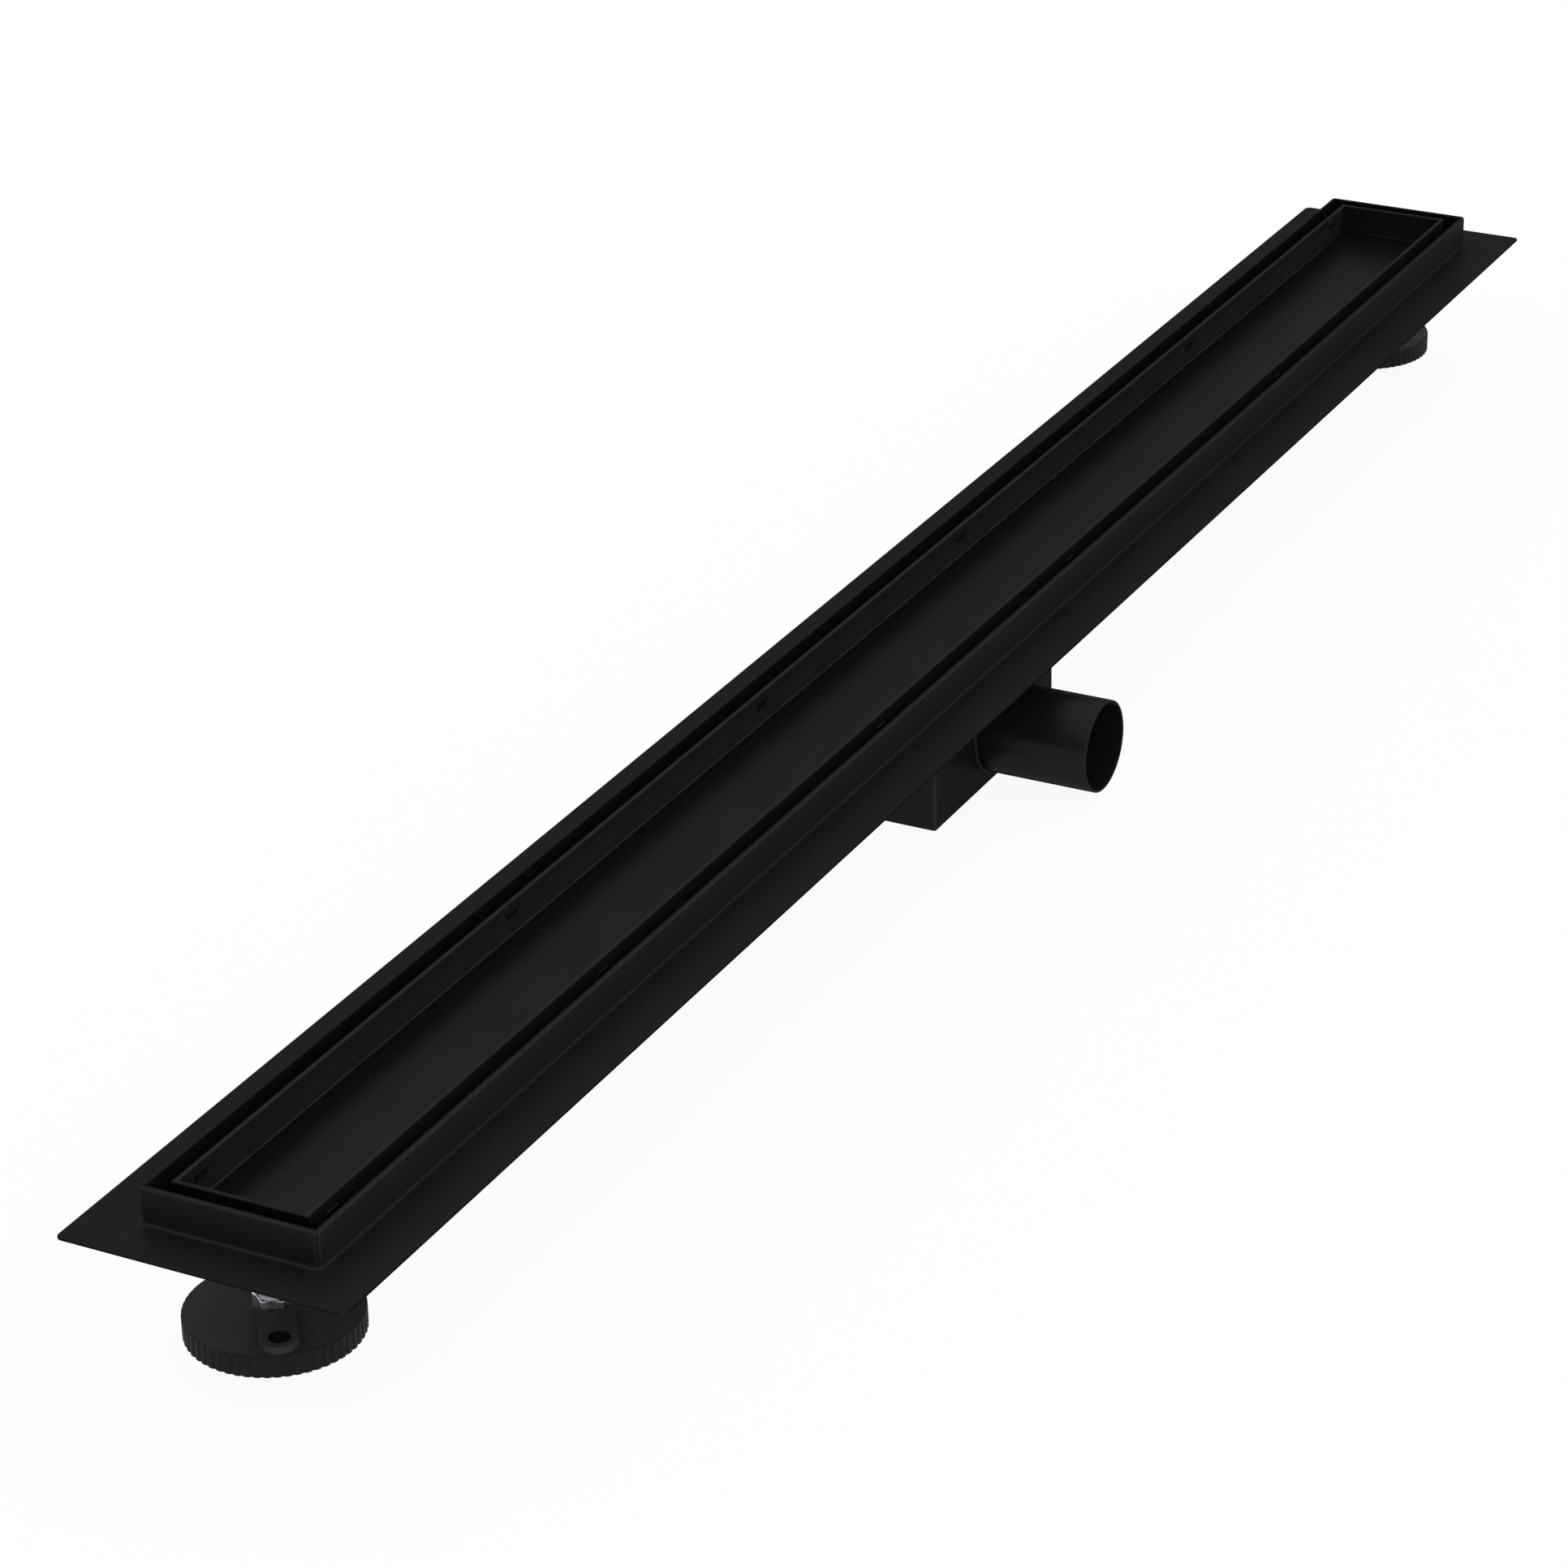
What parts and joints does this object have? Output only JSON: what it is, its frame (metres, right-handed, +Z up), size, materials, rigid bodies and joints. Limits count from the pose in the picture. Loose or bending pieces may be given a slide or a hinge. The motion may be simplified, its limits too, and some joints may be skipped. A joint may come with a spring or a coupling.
{
  "type": "linear shower drain",
  "caption": "Long narrow floor drain: a flanged, hem-edged channel with a lift-out tile tray, a trap housing with a horizontal outlet and two screw feet.",
  "frame": {"origin": "centre of the trap housing's flat underside, on the surface that the drain stands on", "axes": "+X along the drain, from the near foot to the far foot; the outlet pipe points to -Y; +Z is up, towards the tile tray"},
  "size_m": [1.14, 0.1385, 0.0747],
  "materials": {
    "black_coated_steel": "satin black coating on folded stainless sheet",
    "foot_plastic": "finely textured black moulding",
    "zinc_steel": "bright zinc plating",
    "pad_rubber": "matt",
    "seal_rubber": "smooth",
    "trap_plastic": "satin moulding",
    "strainer_plastic": "satin moulding"
  },
  "bodies": {
    "channel": {"channel_body": "black_coated_steel", "trap_box": "black_coated_steel", "outlet_pipe": "black_coated_steel", "tile_tray": "black_coated_steel", "tray_support_1": "black_coated_steel", "tray_support_2": "black_coated_steel", "tray_support_3": "black_coated_steel", "tray_support_4": "black_coated_steel", "tray_pads": "pad_rubber", "trap_seal": "seal_rubber", "trap_insert": "trap_plastic", "trap_cup": "trap_plastic", "hair_strainer": "strainer_plastic", "near_foot_stud": "zinc_steel", "far_foot_stud": "zinc_steel"},
    "near_foot": {"near_foot_disc": "foot_plastic", "near_foot_captive_nut": "zinc_steel", "near_foot_lock_nut": "zinc_steel"},
    "far_foot": {"far_foot_disc": "foot_plastic", "far_foot_captive_nut": "zinc_steel", "far_foot_lock_nut": "zinc_steel"}
  },
  "joints": [
    {"name": "near_foot_height", "type": "slide", "parent": "channel", "child": "near_foot", "axis": [0, 0, -1], "range_m": [-0.02, 0.0085]},
    {"name": "far_foot_height", "type": "slide", "parent": "channel", "child": "far_foot", "axis": [0, 0, -1], "range_m": [-0.02, 0.0085]}
  ]
}
